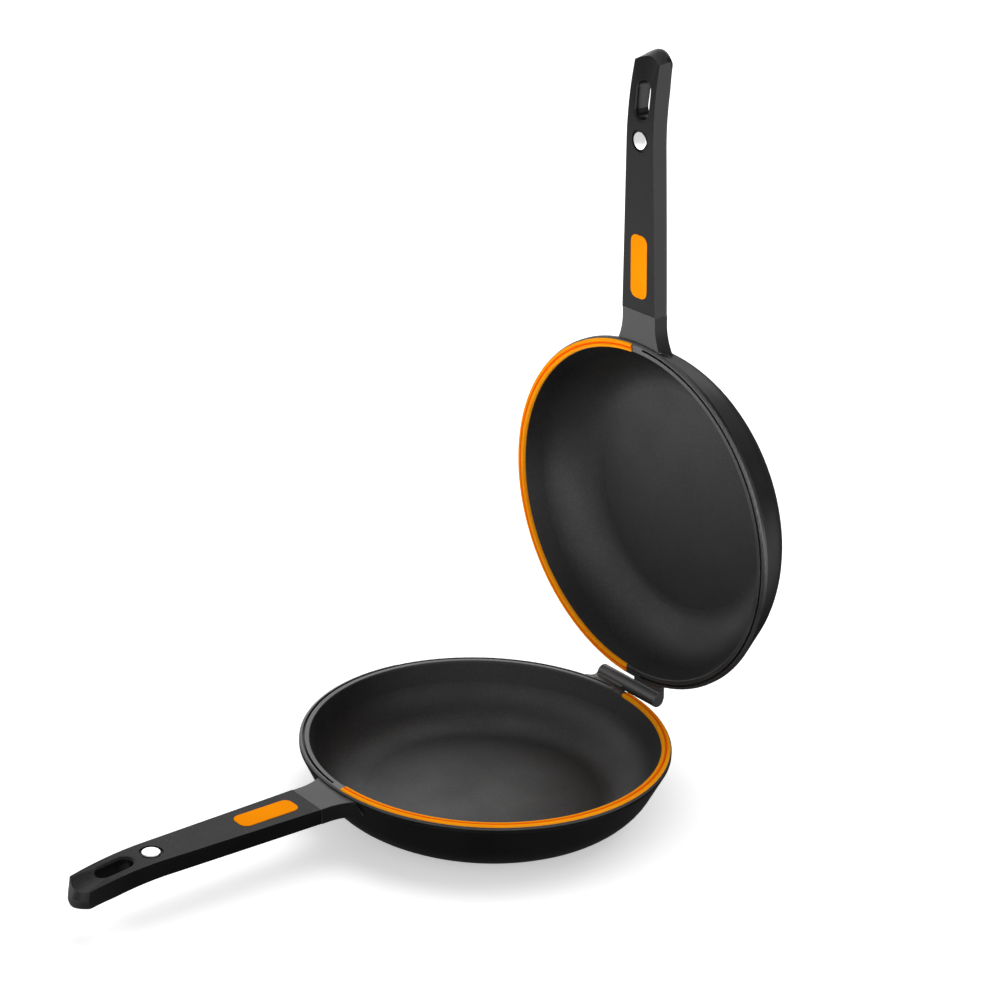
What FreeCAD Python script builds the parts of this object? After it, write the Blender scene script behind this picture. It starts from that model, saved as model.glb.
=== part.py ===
import FreeCAD, Part
import math
import os
from FreeCAD import Vector

# Double sided flip pan. Two like halves close face to face on the seam plane.
# Each half is modelled in its own frame: X from the handle to the hinge, Z out of the mouth,
# the origin on the pan's axis in the seam plane. All lengths are millimetres, all angles degrees.

os.makedirs("parts", exist_ok=True)

# Pan body, a casting turned about Z
seam_height = 44.7
rim_radius = 121.8
rim_width = 6.7
rim_inner_radius = rim_radius - rim_width
rim_band = 4.2
rim_outer_round = 1.5
rim_inner_round = 0.6
lip_drop = 0.7
corner_reach = 43.8
base_flat_radius = rim_radius - corner_reach
corner_radius = 38.5
floor_thickness = 4.6
inner_corner_radius = 34.5

# Channel of the rim and the silicone seal in half of it
channel_inset = 2.8
channel_radius = rim_radius - channel_inset
channel_width = 1.7
channel_depth = 3.0
channel_handle_end = 5.6
channel_hinge_end = 8.0
seal_inner_inset = 0.05
seal_inner_radius = rim_inner_radius + seal_inner_inset
seal_outer_inset = 0.94
seal_outer_radius = rim_radius - seal_outer_inset
seal_seat_drop = 2.1
seal_proud = 1.1
seal_ridge_height = 0.7
seal_fit = 0.04
seal_stem_depth = 2.0
seal_handle_end = 4.4
seal_hinge_end = 6.1
seal_end_offset = 1.2

# Steel disc inlaid in the base, with rings of holes that the casting fills
base_disc_margin = 10.0
base_disc_radius = base_flat_radius - base_disc_margin
base_disc_thickness = 1.0
base_hole_radius = 2.6
base_centre_radius = 9.0
base_ring_count = 3
base_ring_pitch = (base_disc_radius - base_centre_radius) / (base_ring_count + 1)
base_holes_per_ring = 8
base_fit = 0.03

# Hinge knuckle, its web to the rim, and the stop dogs between the two knuckles
hinge_standoff = 7.1
hinge_x = rim_radius + hinge_standoff
hinge_offset = 2.4
knuckle_radius = 5.0
knuckle_end = 28.7
knuckle_edge = 0.8
web_fillet = 1.2
web_start = 3.1
web_root_fillet = 4.0
dog_half_length = 1.5
dog_gap = 0.15
dog_play_deg = 0.5
open_angle = 85.9
relief_start = -1.8
relief_depth = 0.6
slit_width = 0.6
slit_depth = 0.8
slit_place = web_start - slit_width

# Hinge pin and the sleeves that line the two blind bores
pin_radius = 2.0
bush_radius = 2.8
bore_depth = 24.0
bush_fit = 0.02
pin_press_fit = 0.01
pin_running_fit = 0.05
pin_end_gap = 0.3
bush_mouth_gap = 0.2
pin_chamfer = 0.4

# Neck, the metal sleeve between the rim and the grip
neck_length = 21.2
neck_end = rim_radius + neck_length
neck_half_width = 15.6
neck_flare = 6.4
neck_rim_half_width = neck_half_width + neck_flare
neck_root_inset = 5.3
neck_rim_x = rim_radius - neck_root_inset
neck_straight = 6.0
neck_straight_x = neck_end - neck_straight
neck_top = 2.6
neck_thickness = 10.0
neck_bottom = neck_top + neck_thickness
neck_draft = 1.0
neck_edge = 0.45
neck_wall_gap = 0.1
seam_gap = 0.12

# Tang of the casting, inside the neck and the grip
tang_half_width = 7.0
tang_drop = 2.3
tang_top = neck_top + tang_drop
tang_thickness = 3.2
tang_length = 38.0
tang_end = neck_end + tang_length
tang_root_half_width = 10.0
tang_root_wall = 1.5
tang_root_top = neck_top + tang_root_wall
tang_root_bottom = neck_bottom - tang_root_wall
tang_root_gap = 11.0
tang_root_end = neck_end - tang_root_gap
tang_fit = 0.1

# Grip
grip_length = 169.8
grip_tip_x = neck_end + grip_length
grip_top = 2.5
grip_bottom = 12.6
grip_bottom_bend = 13.5
grip_side_reach = 82.0
grip_side_x = neck_end + grip_side_reach
grip_side_half_width = 13.4
grip_tip_inset = 7.4
grip_tip_side_x = grip_tip_x - grip_tip_inset
grip_tip_half_width = 11.3
grip_tip_lean = 2.1
grip_nose = 0.9
grip_nose_lean = 5.6
grip_draft_neck = 2.0
grip_draft_side = 1.7
grip_draft_tip = 0.3
top_bend_length = 57.8
top_bend_x = grip_tip_x - top_bend_length
top_bend_radius = 234.0
bottom_bend_length = 60.8
bottom_bend_x = grip_tip_x - bottom_bend_length
bottom_bend_radius = 205.0
tip_bottom_inset = 7.8
tip_bottom_x = grip_tip_x - tip_bottom_inset
tip_bottom_round = 6.4
grip_top_edge = 0.4
grip_bottom_edge = 1.2

# Hanging slot and the scoop in the face at the tip
slot_tip_gap = 18.3
slot_far_x = grip_tip_x - slot_tip_gap
slot_length = 23.3
slot_near_x = slot_far_x - slot_length
slot_half_width = 5.5
slot_face_edge = 1.7
slot_back_edge = 0.9
scoop_radius = 48.0
scoop_length = 23.8
scoop_near_x = grip_tip_x - scoop_length
scoop_tilt_deg = 14.2

# Coloured insert, magnet and the recess round it
insert_seam_gap = 9.6
insert_near_x = neck_end + insert_seam_gap
insert_length = 42.4
insert_half_width = 7.5
insert_corner = 5.2
insert_thickness = 1.9
insert_proud = 0.4
insert_edge = 0.35
insert_fit = 0.05
magnet_slot_gap = 14.5
magnet_x = slot_near_x - magnet_slot_gap
magnet_radius = 5.8
magnet_depth = 3.2
magnet_round = 0.5
magnet_fit = 0.03
magnet_proud = 0.3
ring_radius = 7.5
ring_depth = 0.5

# Screws that hold the grip on the tang, from the underside
screw_seam_gap = 15.0
screw_first_x = neck_end + screw_seam_gap
screw_pitch = 15.0
screw_count = 2
screw_radius = 2.0
screw_head_radius = 3.5
screw_head_height = 1.5
screw_recess = 0.3
screw_fit = 0.05
screw_socket_radius = 1.3
screw_socket_depth = 0.9
screw_hole_radius = 2.3
head_hole_radius = 4.0
washer_thickness = 0.5
washer_radius = 3.7
washer_bore = 2.15

# Lengths that cuts run past what they cut
overrun = 2.0

# Values that follow from those above
lip_z = -lip_drop
seal_top = seal_proud - lip_drop
floor_z = floor_thickness - seam_height
tang_bottom = tang_top + tang_thickness
seal_seat_z = -seal_seat_drop
insert_floor = grip_top + insert_thickness - insert_proud
dog_angle = (360 - open_angle) / 2 - dog_play_deg


def polar(radius, degrees):
    """Plan or section point at a radius and an angle."""
    a = math.radians(degrees)
    return radius * math.cos(a), radius * math.sin(a)


def line(p, q):
    return Part.LineSegment(p, q).toShape()


def arc(p, through, q):
    return Part.Arc(p, through, q).toShape()


def face_of(edges):
    return Part.Face(Part.Wire(edges))


def turned(edges, degrees=360):
    """A solid turned about Z from a closed outline in the XZ plane."""
    return face_of(edges).revolve(Vector(0, 0, 0), Vector(0, 0, 1), degrees)


def disc(radius, z_low, z_high, x=0, y=0):
    return Part.makeCylinder(radius, z_high - z_low, Vector(x, y, z_low))


def block(x_low, x_high, y_low, y_high, z_low, z_high):
    size = (x_high - x_low, y_high - y_low, z_high - z_low)
    return Part.makeBox(*size, Vector(x_low, y_low, z_low))


def section_outline(points):
    """Edges through (r, z) points. A third value rounds that corner by that radius."""
    count = len(points)
    corners = []
    for i, point in enumerate(points):
        here = Vector(point[0], 0, point[1])
        radius = point[2] if len(point) > 2 else 0
        if not radius:
            corners.append((here, None, here))
            continue
        before = Vector(points[i - 1][0], 0, points[i - 1][1])
        after = Vector(points[(i + 1) % count][0], 0, points[(i + 1) % count][1])
        back = (before - here).normalize()
        ahead = (after - here).normalize()
        half = math.acos(max(-1, min(1, back.dot(ahead)))) / 2
        reach = radius / math.tan(half)
        middle = (back + ahead).normalize()
        centre = here + middle * (radius / math.sin(half))
        corners.append((here + back * reach, centre - middle * radius, here + ahead * reach))
    edges = []
    for i, corner in enumerate(corners):
        if corner[1] is not None:
            edges.append(arc(corner[0], corner[1], corner[2]))
        following = corners[(i + 1) % count][0]
        if corner[2].distanceToPoint(following) > 0:
            edges.append(line(corner[2], following))
    return edges


def tangent_point(from_r, from_z, centre_r, centre_z, radius):
    """Where the line from a point on a wall touches the corner arc, on its outer lower side."""
    away = math.hypot(from_r - centre_r, from_z - centre_z)
    start = math.atan2(from_z - centre_z, from_r - centre_r)
    angle = start - math.acos(radius / away)
    return centre_r + radius * math.cos(angle), centre_z + radius * math.sin(angle), angle


def wall_curve(top_r, top_z, low_z, corner, growth=0):
    """Straight wall and corner arc down to the flat of the base, as edges with their ends."""
    centre = (base_flat_radius, low_z + corner)
    radius = corner + growth
    r, z, angle = tangent_point(top_r, top_z, centre[0], centre[1], radius)
    middle = (angle - math.pi / 2) / 2
    through = Vector(centre[0] + radius * math.cos(middle), 0, centre[1] + radius * math.sin(middle))
    touch = Vector(r, 0, z)
    foot = Vector(centre[0], 0, low_z - growth)
    return [line(Vector(top_r, 0, top_z), touch), arc(touch, through, foot)], foot


def outer_solid(growth=0):
    """The pan's outside as a full solid, grown by a clearance where a sleeve fits over it."""
    radius = rim_radius + growth
    wall, foot = wall_curve(radius, -rim_band, -seam_height, corner_radius, growth)
    top = overrun
    edges = [line(Vector(0, 0, top), Vector(radius, 0, top))]
    edges.append(line(Vector(radius, 0, top), Vector(radius, 0, -rim_band)))
    edges += wall
    edges.append(line(foot, Vector(0, 0, foot.z)))
    edges.append(line(Vector(0, 0, foot.z), Vector(0, 0, top)))
    return turned(edges)


def bowl():
    """The cast bowl: outside wall, rim band with its rounded lip, inside wall and floor."""
    outer, outer_foot = wall_curve(rim_radius, -rim_band, -seam_height, corner_radius)
    inner_start = lip_z - rim_inner_round
    inner, inner_foot = wall_curve(rim_inner_radius, inner_start, floor_z, inner_corner_radius)
    round_centre = (rim_radius - rim_outer_round, lip_z - rim_outer_round)
    bend = polar(rim_outer_round, 45)
    outer_mid = Vector(round_centre[0] + bend[0], 0, round_centre[1] + bend[1])
    outer_low = Vector(rim_radius, 0, round_centre[1])
    outer_high = Vector(round_centre[0], 0, lip_z)
    inner_centre = (rim_inner_radius + rim_inner_round, lip_z - rim_inner_round)
    bend = polar(rim_inner_round, 135)
    inner_mid = Vector(inner_centre[0] + bend[0], 0, inner_centre[1] + bend[1])
    inner_high = Vector(inner_centre[0], 0, lip_z)
    inner_low = Vector(rim_inner_radius, 0, inner_centre[1])
    edges = outer[::-1]
    edges += [line(Vector(rim_radius, 0, -rim_band), outer_low)]
    edges += [arc(outer_low, outer_mid, outer_high), line(outer_high, inner_high)]
    edges += [arc(inner_high, inner_mid, inner_low)] + inner
    axis_top = Vector(0, 0, floor_z)
    axis_low = Vector(0, 0, -seam_height)
    edges += [line(inner_foot, axis_top), line(axis_top, axis_low), line(axis_low, outer_foot)]
    wire = Part.Wire(Part.__sortEdges__(edges))
    return Part.Face(wire).revolve(Vector(0, 0, 0), Vector(0, 0, 1), 360)


def half_ring(edges, side, handle_end, hinge_end):
    """A full ring from its section, kept on one side of the handle line, ends cut square to Y."""
    ring = turned(edges)
    reach = rim_radius + overrun
    limits = (side * handle_end, side * hinge_end)
    handle = block(-reach, 0, min(limits[0], side * reach), max(limits[0], side * reach), -reach, reach)
    hinge = block(0, reach, min(limits[1], side * reach), max(limits[1], side * reach), -reach, reach)
    return ring.common(handle).fuse(ring.common(hinge)).removeSplitter()


def channel_section(inner, outer, low):
    """Section of a square channel in the rim, open at the top."""
    return section_outline([(inner, low), (outer, low), (outer, overrun), (inner, overrun)])


def seal_end(shift):
    """Where the seal ends at the hinge: the barrel's place along its axis moves it too."""
    return seal_hinge_end - math.copysign(seal_end_offset, shift)


def channel_cut(shift):
    """The rim channel: open on one side, under the seal on the other."""
    inner = channel_radius - channel_width / 2
    outer = channel_radius + channel_width / 2
    section = channel_section(inner, outer, lip_z - channel_depth)
    free_side = half_ring(section, 1, channel_handle_end, channel_hinge_end + shift)
    section = channel_section(inner, outer, seal_seat_z - seal_stem_depth - seal_fit)
    stem_side = half_ring(section, -1, seal_handle_end, seal_end(shift))
    section = channel_section(rim_inner_radius - overrun, seal_outer_radius + seal_fit, seal_seat_z)
    seat = half_ring(section, -1, seal_handle_end, seal_end(shift))
    return free_side.fuse(stem_side).fuse(seat)


def rim_seal(shift):
    """Silicone strip: a stem in the channel under a cap with two rounded ridges."""
    stem_half = channel_width / 2 - seal_fit
    stem_low = seal_seat_z - seal_stem_depth
    valley_z = seal_top - seal_ridge_height
    middle = (seal_inner_radius + seal_outer_radius) / 2
    quarter = (seal_outer_radius - seal_inner_radius) / 4
    corners = [
        Vector(seal_inner_radius, 0, seal_seat_z),
        Vector(channel_radius - stem_half, 0, seal_seat_z),
        Vector(channel_radius - stem_half, 0, stem_low),
        Vector(channel_radius + stem_half, 0, stem_low),
        Vector(channel_radius + stem_half, 0, seal_seat_z),
        Vector(seal_outer_radius, 0, seal_seat_z),
        Vector(seal_outer_radius, 0, valley_z),
    ]
    edges = [line(a, b) for a, b in zip(corners, corners[1:])]
    valley = Vector(middle, 0, valley_z)
    inner_top = Vector(seal_inner_radius, 0, valley_z)
    edges.append(arc(corners[-1], Vector(middle + quarter, 0, seal_top), valley))
    edges.append(arc(valley, Vector(middle - quarter, 0, seal_top), inner_top))
    edges.append(line(inner_top, corners[0]))
    end_gap = seal_fit
    return half_ring(edges, -1, seal_handle_end + end_gap, seal_end(shift) + end_gap)


def base_hole_places():
    """Centres of the holes of the base disc, ring by ring."""
    places = []
    for ring in range(1, base_ring_count + 1):
        count = base_holes_per_ring * ring
        radius = base_centre_radius + base_ring_pitch * ring
        for i in range(count):
            places.append(polar(radius, (i + ring / 2) * 360 / count))
    return places


def base_disc():
    low = -seam_height
    high = low + base_disc_thickness
    plate = disc(base_disc_radius, low, high)
    tools = [disc(base_hole_radius, low - overrun, high + overrun, x, y) for x, y in base_hole_places()]
    tools.append(disc(base_centre_radius, low - overrun, high + overrun))
    return plate.cut(Part.makeCompound(tools))


def base_recess():
    """What the base disc takes out of the casting: its own shape and a fit all round."""
    low = -seam_height
    high = low + base_disc_thickness + base_fit
    plate = disc(base_disc_radius + base_fit, low - overrun, high)
    posts = [disc(base_hole_radius - base_fit, low - overrun, high, x, y) for x, y in base_hole_places()]
    posts.append(disc(base_centre_radius - base_fit, low - overrun, high))
    return plate.cut(Part.makeCompound(posts))


def sector(start_deg, sweep_deg, inner, outer, y_low, y_high):
    """Part of a tube about the hinge axis. Angles run from +X towards +Z."""
    points = [
        Vector(hinge_x + inner, y_low, 0),
        Vector(hinge_x + outer, y_low, 0),
        Vector(hinge_x + outer, y_high, 0),
        Vector(hinge_x + inner, y_high, 0),
    ]
    edges = [line(points[i], points[(i + 1) % 4]) for i in range(4)]
    axis_point = Vector(hinge_x, 0, 0)
    tube = face_of(edges).revolve(axis_point, Vector(0, 1, 0), -sweep_deg)
    tube.rotate(axis_point, Vector(0, 1, 0), -start_deg)
    return tube


def along_y(radius, y_low, y_high):
    return Part.makeCylinder(radius, y_high - y_low, Vector(hinge_x, y_low, 0), Vector(0, 1, 0))


def web_solid():
    """The web from the rim to the knuckle, filleted into the knuckle's front."""
    top = lip_z
    bottom = -knuckle_radius
    root_x = rim_inner_radius + (rim_radius - rim_inner_radius) / 2
    reach = knuckle_radius + web_fillet
    fillet_x = hinge_x - math.sqrt(reach ** 2 - (top + web_fillet) ** 2)
    start = Vector(fillet_x, web_start, top)
    centre = Vector(fillet_x, web_start, top + web_fillet)
    axis = Vector(hinge_x, web_start, 0)
    towards = (axis - centre).normalize()
    finish = centre + towards * web_fillet
    middle = centre + (towards + Vector(0, 0, -1)).normalize() * web_fillet
    low = Vector(hinge_x, web_start, bottom)
    root_top = Vector(root_x, web_start, top)
    root_low = Vector(root_x, web_start, bottom)
    edges = [line(root_top, start), arc(start, middle, finish), line(finish, axis)]
    edges += [line(axis, low), line(low, root_low), line(root_low, root_top)]
    return face_of(edges).extrude(Vector(0, knuckle_end - web_start, 0))


def web_root(end_y):
    """The concave corner between the web's outer end and the round rim, seen from above."""
    top = lip_z
    bottom = -knuckle_radius
    reach = rim_radius + web_root_fillet
    centre_y = end_y + web_root_fillet
    centre_x = math.sqrt(reach ** 2 - centre_y ** 2)
    scale = rim_radius / reach
    touch = Vector(centre_x * scale, centre_y * scale, bottom)
    corner = Vector(centre_x, end_y, bottom)
    inward = Vector(-centre_x, -centre_y, 0).normalize()
    bisector = (inward + Vector(0, -1, 0)).normalize() * web_root_fillet
    middle = Vector(centre_x, centre_y, bottom) + bisector
    inner_x = rim_inner_radius + (rim_radius - rim_inner_radius) / 2
    inside = Vector(math.sqrt(inner_x ** 2 - touch.y ** 2), touch.y, bottom)
    foot = Vector(inside.x, end_y - web_root_fillet, bottom)
    outer_foot = Vector(centre_x, foot.y, bottom)
    edges = [arc(touch, middle, corner), line(corner, outer_foot), line(outer_foot, foot)]
    edges += [line(foot, inside), line(inside, touch)]
    return face_of(edges).extrude(Vector(0, 0, top - bottom))


def knuckle(shift):
    """The half of the hinge barrel that one casting carries, with its stop dog."""
    inner_end = dog_half_length + dog_gap
    barrel = along_y(knuckle_radius, inner_end, knuckle_end)
    rim_edges = [e for e in barrel.Edges if abs(e.CenterOfMass.y - knuckle_end) < knuckle_edge]
    barrel = barrel.makeFillet(knuckle_edge, [rim_edges[0]])
    dog = sector(dog_play_deg / 2, dog_angle, bush_radius, knuckle_radius, -dog_half_length, knuckle_end / 2)
    return shifted(barrel.fuse(dog).fuse(web_solid()), shift).fuse(web_root(knuckle_end + shift))


def shifted(shape, shift):
    """The shape moved along the hinge axis."""
    moved = shape.copy()
    moved.translate(Vector(0, shift, 0))
    return moved


def tang():
    """Root block and tang that carry the neck and the grip."""
    wall_x = rim_inner_radius
    root = block(-tang_root_end, -wall_x, -tang_root_half_width, tang_root_half_width,
                 -tang_root_bottom, -tang_root_top)
    strip = block(-tang_end, -wall_x, -tang_half_width, tang_half_width, -tang_bottom, -tang_top)
    return root.fuse(strip)


def screw_places():
    return [-(screw_first_x + screw_pitch * i) for i in range(screw_count)]


def pan(shift):
    """The whole casting of one half."""
    body = bowl()
    hollow = inside_solid()
    body = body.fuse(tang().cut(hollow))
    body = body.fuse(knuckle(shift).cut(hollow))
    body = body.cut(channel_cut(shift))
    body = body.cut(base_recess())
    body = body.cut(shifted(along_y(bush_radius + bush_fit, -knuckle_end, bore_depth), shift))
    relief = block(rim_radius - relief_depth, hinge_x - knuckle_radius - slit_width,
                   relief_start, web_start, -rim_band - overrun, overrun)
    relief_x = rim_radius - relief_depth
    body = body.cut(shifted(relief, shift))
    slit_inner = rim_inner_radius - overrun
    slit = block(slit_inner, relief_x + overrun, slit_place, slit_place + slit_width,
                 lip_z - slit_depth, overrun)
    body = body.cut(shifted(slit, shift))
    for x in screw_places():
        body = body.cut(disc(screw_radius + screw_fit, -tang_bottom - overrun, -tang_top + overrun, x))
    return body.removeSplitter()


def inside_solid():
    """The space inside the bowl, as a solid."""
    start = lip_z - rim_inner_round
    wall, foot = wall_curve(rim_inner_radius, start, floor_z, inner_corner_radius)
    top = overrun
    edges = [line(Vector(0, 0, top), Vector(rim_inner_radius, 0, top))]
    edges.append(line(Vector(rim_inner_radius, 0, top), Vector(rim_inner_radius, 0, start)))
    edges += wall
    edges.append(line(foot, Vector(0, 0, foot.z)))
    edges.append(line(Vector(0, 0, foot.z), Vector(0, 0, top)))
    return turned(edges)


def neck_outline(z, growth):
    """Plan of the neck at one height: parallel at the grip, flaring in an arc to the rim."""
    near = neck_half_width + growth
    far = neck_rim_half_width + growth
    bend_x = (neck_straight_x + neck_rim_x) / 2
    bend_y = near + (far - near) / 4
    edges = []
    for side in (1, -1):
        seam = Vector(-neck_end, side * near, z)
        straight = Vector(-neck_straight_x, side * near, z)
        bend = Vector(-bend_x, side * bend_y, z)
        rim = Vector(-neck_rim_x, side * far, z)
        if side > 0:
            edges += [line(seam, straight), arc(straight, bend, rim)]
            last = rim
            first = seam
        else:
            edges += [line(last, rim), arc(rim, bend, straight), line(straight, seam), line(seam, first)]
    return Part.Wire(edges)


def neck():
    """Die-cast sleeve over the root of the tang, cut to the round of the pan's wall."""
    body = Part.makeLoft([neck_outline(-neck_top, 0), neck_outline(-neck_bottom, neck_draft)], True, True)
    edges = [e for e in body.Edges if is_long_side(e, -neck_top) or is_long_side(e, -neck_bottom)]
    body = body.makeFillet(neck_edge, edges)
    body = body.cut(outer_solid(neck_wall_gap))
    root = block(-tang_root_end - tang_fit, 0, -tang_root_half_width - tang_fit,
                 tang_root_half_width + tang_fit, -tang_root_bottom - tang_fit, -tang_root_top + tang_fit)
    return body.cut(root).cut(tang_pocket(neck_end + overrun))


def is_long_side(edge, z):
    """True for the plan edges of the neck that run along the handle at one height."""
    box = edge.BoundBox
    flat = abs(box.ZMin - z) < neck_edge / 2 and abs(box.ZMax - z) < neck_edge / 2
    return flat and box.YLength < box.XLength


def tang_pocket(reach):
    return block(-reach, 0, -tang_half_width - tang_fit, tang_half_width + tang_fit,
                 -tang_bottom - tang_fit, -tang_top + tang_fit)


def grip_plan(z, depth):
    """Plan of the grip at one height: two long shallow arcs and a rounded tip that leans out."""
    down = -(z + grip_top) / depth
    seam_x = neck_end + seam_gap
    seam_half = neck_half_width + grip_draft_neck * down
    side_half = grip_side_half_width + grip_draft_side * down
    tip_half = grip_tip_half_width + grip_draft_tip * down
    tip_x = grip_tip_side_x + grip_tip_lean * down
    seam = [Vector(-seam_x, s * seam_half, z) for s in (1, -1)]
    side = [Vector(-grip_side_x, s * side_half, z) for s in (1, -1)]
    tip = [Vector(-tip_x, s * tip_half, z) for s in (1, -1)]
    nose = Vector(-tip_x - grip_nose - grip_nose_lean * down, 0, z)
    return Part.Wire([
        arc(seam[0], side[0], tip[0]), arc(tip[0], nose, tip[1]),
        arc(tip[1], side[1], seam[1]), line(seam[1], seam[0]),
    ])


def bent(start, bend, radius, end_x):
    """The middle and end of a line that turns down on an arc past its bend, and the arc's centre."""
    run = (bend - start).normalize()
    centre = bend + Vector(-run.z, 0, run.x) * radius
    points = []
    for x in ((bend.x + end_x) / 2, end_x):
        points.append(Vector(x, 0, centre.z + math.sqrt(radius ** 2 - (x - centre.x) ** 2)))
    return points[0], points[1], centre


def grip_side_outline():
    """Side view of the grip: straight, then bent away from the seam plane, with a round underside."""
    seam_x = neck_end + seam_gap
    low_start = Vector(-seam_x, 0, -grip_bottom)
    low_bend = Vector(-bottom_bend_x, 0, -grip_bottom_bend)
    low_mid, low_tip, low_centre = bent(low_start, low_bend, bottom_bend_radius, -tip_bottom_x)
    upward = (low_tip - low_centre).normalize()
    round_centre = low_tip + upward * tip_bottom_round
    end = round_centre + Vector(-tip_bottom_round, 0, 0)
    round_mid = round_centre + (Vector(-1, 0, 0) - upward).normalize() * tip_bottom_round
    top_start = Vector(-seam_x, 0, -grip_top)
    top_bend = Vector(-top_bend_x, 0, -grip_top)
    top_mid, top_tip, top_centre = bent(top_start, top_bend, top_bend_radius, end.x)
    return Part.Wire([
        line(top_start, top_bend), arc(top_bend, top_mid, top_tip), line(top_tip, end),
        arc(end, round_mid, low_tip), arc(low_tip, low_mid, low_bend), line(low_bend, low_start),
        line(low_start, top_start),
    ]), round_centre.z - tip_bottom_round


def grip_blank():
    """The grip's outside: its side view and its plan, each run through, and what they share."""
    wire, lowest = grip_side_outline()
    half = neck_half_width + grip_draft_neck + overrun
    side = Part.Face(wire)
    side.translate(Vector(0, -half, 0))
    slab = side.extrude(Vector(0, 2 * half, 0))
    depth = -lowest - grip_top
    plans = [grip_plan(overrun - grip_top, depth), grip_plan(lowest - overrun, depth)]
    return slab.common(Part.makeLoft(plans, True, True)).removeSplitter()


def face_height(x):
    """Height of the grip's face at a distance from the pan's axis."""
    if x <= top_bend_x:
        return -grip_top
    run = x - top_bend_x
    return -grip_top - top_bend_radius + math.sqrt(top_bend_radius ** 2 - run ** 2)


def outline_edges(shape):
    """The long edges of the grip's face, and those of its underside."""
    top, low = [], []
    for edge in shape.Edges:
        box = edge.BoundBox
        heights = [v.Point.z - face_height(-v.Point.x) for v in edge.Vertexes]
        if box.XLength < box.YLength or box.ZLength > box.XLength:
            continue
        if all(abs(h) < grip_top_edge / 2 for h in heights):
            top.append(edge)
        elif all(h < -grip_top for h in heights):
            low.append(edge)
    return top, low


def slot_tool(half_width, z_low, z_high):
    near = slot_near_x + slot_half_width
    far = slot_far_x - slot_half_width
    tool = block(-far, -near, -half_width, half_width, z_low, z_high)
    tool = tool.fuse(disc(half_width, z_low, z_high, -near))
    return tool.fuse(disc(half_width, z_low, z_high, -far)).removeSplitter()


def scoop_tool():
    """A wide round bar lying along the grip, tipped so that it runs down and out through the end."""
    tilt = math.radians(scoop_tilt_deg)
    along = Vector(-math.cos(tilt), 0, -math.sin(tilt))
    across = Vector(-math.sin(tilt), 0, math.cos(tilt))
    start = Vector(-scoop_near_x, 0, face_height(scoop_near_x)) + across * scoop_radius
    return Part.makeCylinder(scoop_radius, 2 * scoop_radius, start - along * scoop_radius, along)


def rounded_plate(near_x, length, half_width, corner, z_low, z_high):
    low = Vector(-near_x - length, -half_width, z_low)
    plate = Part.makeBox(length, 2 * half_width, z_high - z_low, low)
    upright = [e for e in plate.Edges if e.BoundBox.ZLength > (z_high - z_low) / 2]
    return plate.makeFillet(corner, upright)


def grip():
    """Moulded grip with its slot, scoop, pockets and screw holes."""
    body = grip_blank()
    body = body.makeChamfer(grip_top_edge, outline_edges(body)[0])
    body = body.makeFillet(grip_bottom_edge, outline_edges(body)[1])
    body = body.cut(slot_tool(slot_half_width, -seam_height, overrun))
    body = body.makeFillet(slot_face_edge, [e for e in body.Edges if on_slot(e, True)])
    body = body.makeFillet(slot_back_edge, [e for e in body.Edges if on_slot(e, False)])
    body = body.cut(scoop_tool())
    body = body.cut(rounded_plate(insert_near_x - insert_fit, insert_length + 2 * insert_fit,
                                  insert_half_width + insert_fit, insert_corner,
                                  -insert_floor - insert_fit, overrun))
    body = body.cut(disc(ring_radius, -grip_top - ring_depth, overrun, -magnet_x))
    body = body.cut(disc(magnet_radius + magnet_fit, -grip_top - magnet_depth - magnet_fit,
                         overrun, -magnet_x))
    body = body.cut(tang_pocket(tang_end + tang_fit))
    seat = -grip_bottom + screw_recess + screw_head_height + washer_thickness
    for x in screw_places():
        body = body.cut(disc(screw_hole_radius, -seam_height, -tang_top, x))
        body = body.cut(disc(head_hole_radius, -seam_height, seat, x))
    return body


def on_slot(edge, at_face):
    """True for the edges where the slot's wall meets the face, or else the underside, of the grip."""
    box = edge.BoundBox
    inside_x = box.XMin > -slot_far_x - slot_back_edge and box.XMax < -slot_near_x + slot_back_edge
    inside_y = max(abs(box.YMin), abs(box.YMax)) < slot_half_width + slot_back_edge / 2
    upright = box.ZLength > grip_bottom - grip_top - overrun
    return inside_x and inside_y and not upright and (box.ZMin > -grip_bottom) == at_face


def insert():
    top = -grip_top + insert_proud
    plate = rounded_plate(insert_near_x, insert_length, insert_half_width, insert_corner,
                          -insert_floor, top)
    rim = [e for e in plate.Edges if abs(e.BoundBox.ZMin - top) < insert_edge / 2]
    return plate.makeFillet(insert_edge, rim)


def magnet():
    top = magnet_proud - grip_top
    body = disc(magnet_radius, -grip_top - magnet_depth, top, -magnet_x)
    rim = [e for e in body.Edges if abs(e.BoundBox.ZMin - top) < magnet_fit]
    return body.makeFillet(magnet_round, rim)


def screws():
    """Low-head screws with a socket, their shanks up in the tang."""
    low = -grip_bottom + screw_recess
    solids = []
    for x in screw_places():
        head = disc(screw_head_radius, low, low + screw_head_height, x)
        shank = disc(screw_radius, low + screw_head_height / 2, -tang_top - screw_fit, x)
        solids.append(head.fuse(shank).cut(disc(screw_socket_radius, low - overrun, low + screw_socket_depth, x)))
    return Part.makeCompound(solids)


def washers():
    low = -grip_bottom + screw_recess + screw_head_height
    solids = []
    for x in screw_places():
        ring = disc(washer_radius, low, low + washer_thickness, x)
        solids.append(ring.cut(disc(washer_bore, low - overrun, low + overrun, x)))
    return Part.makeCompound(solids)


def bush(bore_fit, shift):
    tube = along_y(bush_radius, dog_half_length + dog_gap + bush_mouth_gap, bore_depth - bush_mouth_gap)
    return shifted(tube.cut(along_y(pin_radius + bore_fit, -knuckle_end, knuckle_end)), shift)


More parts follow.
